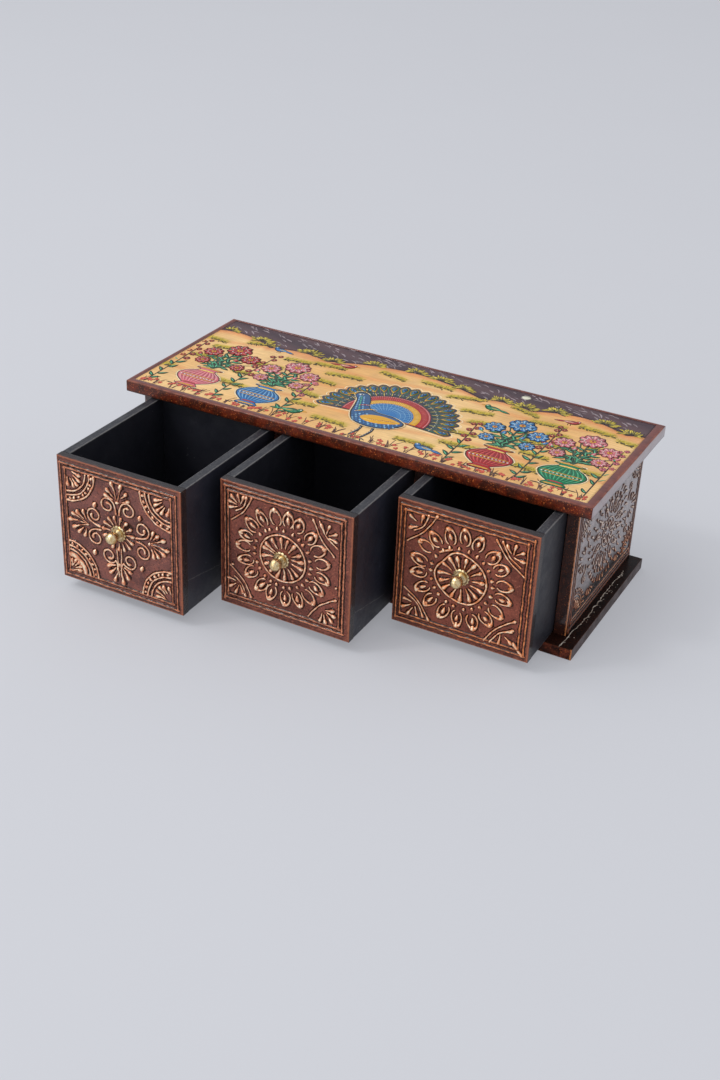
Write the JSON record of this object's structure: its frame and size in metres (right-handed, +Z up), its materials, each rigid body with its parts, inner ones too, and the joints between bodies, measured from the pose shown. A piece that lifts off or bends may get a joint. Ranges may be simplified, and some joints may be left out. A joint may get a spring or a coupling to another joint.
{
  "type": "painted drawer box",
  "caption": "Low wooden box with small pull-out drawers side by side under a flat painted top, for paints and craft parts.",
  "frame": {"origin": "on the underside of the base, halfway along the box and halfway across the top board", "axes": "+X along the box to the right, +Y to the back, +Z up; the drawers open towards -Y"},
  "size_m": [0.305, 0.2226, 0.0954],
  "materials": {
    "painted_top": "hand-painted ochre ground with bright motifs, dark red-brown lacquered edges, satin varnish",
    "lacquered_case": "glossy dark brown lacquer with copper rubbed along the edges and raised copper lines",
    "lacquered_front": "red-brown satin lacquer under raised copper-rubbed lines",
    "black_board": "black satin paint",
    "brass": "aged bright brass",
    "steel": "plain zinc-plated steel"
  },
  "bodies": {
    "case": {"base_board": "lacquered_case", "base_strip_left": "lacquered_case", "base_strip_right": "lacquered_case", "side_panel_left": "lacquered_case", "side_panel_right": "lacquered_case", "divider_left": "black_board", "divider_right": "black_board", "back_panel": "black_board", "top_board": "painted_top", "top_brads": "steel", "base_brads": "steel", "back_brads": "steel"},
    "left_drawer": {"left_drawer_front": "lacquered_front", "left_drawer_side_left": "black_board", "left_drawer_side_right": "black_board", "left_drawer_back": "black_board", "left_drawer_bottom": "black_board", "left_drawer_brads": "steel", "left_drawer_knob": "brass", "left_drawer_knob_rosette": "brass", "left_drawer_knob_washer": "steel", "left_drawer_knob_nut": "steel"},
    "middle_drawer": {"middle_drawer_front": "lacquered_front", "middle_drawer_side_left": "black_board", "middle_drawer_side_right": "black_board", "middle_drawer_back": "black_board", "middle_drawer_bottom": "black_board", "middle_drawer_brads": "steel", "middle_drawer_knob": "brass", "middle_drawer_knob_rosette": "brass", "middle_drawer_knob_washer": "steel", "middle_drawer_knob_nut": "steel"},
    "right_drawer": {"right_drawer_front": "lacquered_front", "right_drawer_side_left": "black_board", "right_drawer_side_right": "black_board", "right_drawer_back": "black_board", "right_drawer_bottom": "black_board", "right_drawer_brads": "steel", "right_drawer_knob": "brass", "right_drawer_knob_rosette": "brass", "right_drawer_knob_washer": "steel", "right_drawer_knob_nut": "steel"}
  },
  "joints": [
    {"name": "left_drawer_slide", "type": "slide", "parent": "case", "child": "left_drawer", "axis": [0, -1, 0], "range_m": [-0.0973, 0.0227]},
    {"name": "middle_drawer_slide", "type": "slide", "parent": "case", "child": "middle_drawer", "axis": [0, -1, 0], "range_m": [-0.0716, 0.0484]},
    {"name": "right_drawer_slide", "type": "slide", "parent": "case", "child": "right_drawer", "axis": [0, -1, 0], "range_m": [-0.0372, 0.0828]}
  ]
}
